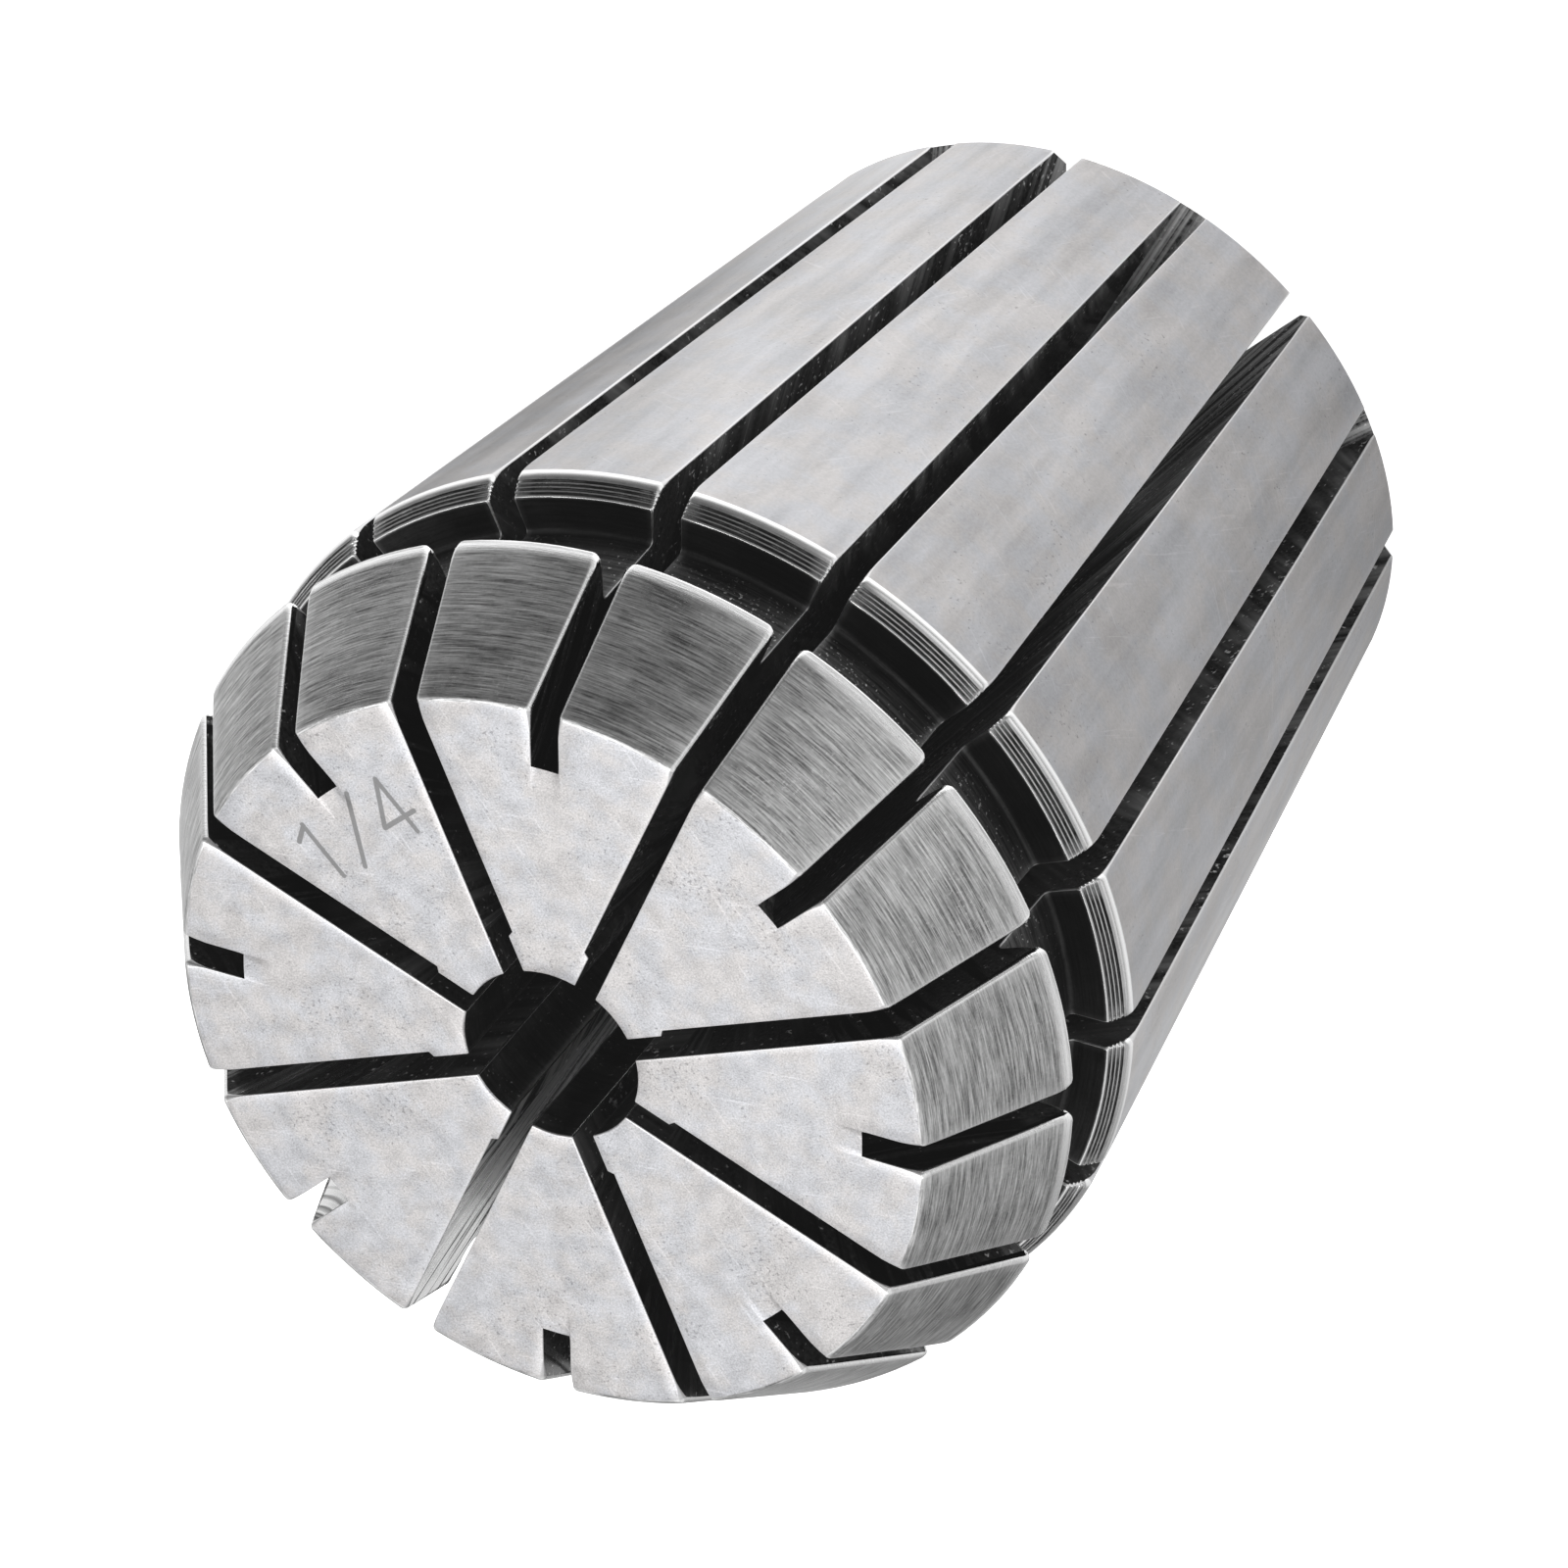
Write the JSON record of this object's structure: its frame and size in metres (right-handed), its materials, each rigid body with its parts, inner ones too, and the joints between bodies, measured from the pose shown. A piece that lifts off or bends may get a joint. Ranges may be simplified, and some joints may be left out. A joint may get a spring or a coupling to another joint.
{
  "type": "er collet",
  "caption": "Spring collet with an 8 degree taper, a 30 degree nose, an extraction groove and saw slots from both ends, bored for a 1/4 inch shank.",
  "frame": {"origin": "centre of the rear face, the small end that the collet stands on", "axes": "+Z along the collet's axis, from the small end to the nose; a front slot lies on +X and on +Y"},
  "size_m": [0.033, 0.033, 0.04],
  "materials": {
    "ground_steel": "hardened steel, ground taper and nose with fine turned lines, sawn slots"
  },
  "bodies": {
    "root": {"collet": "ground_steel"}
  },
  "joints": []
}
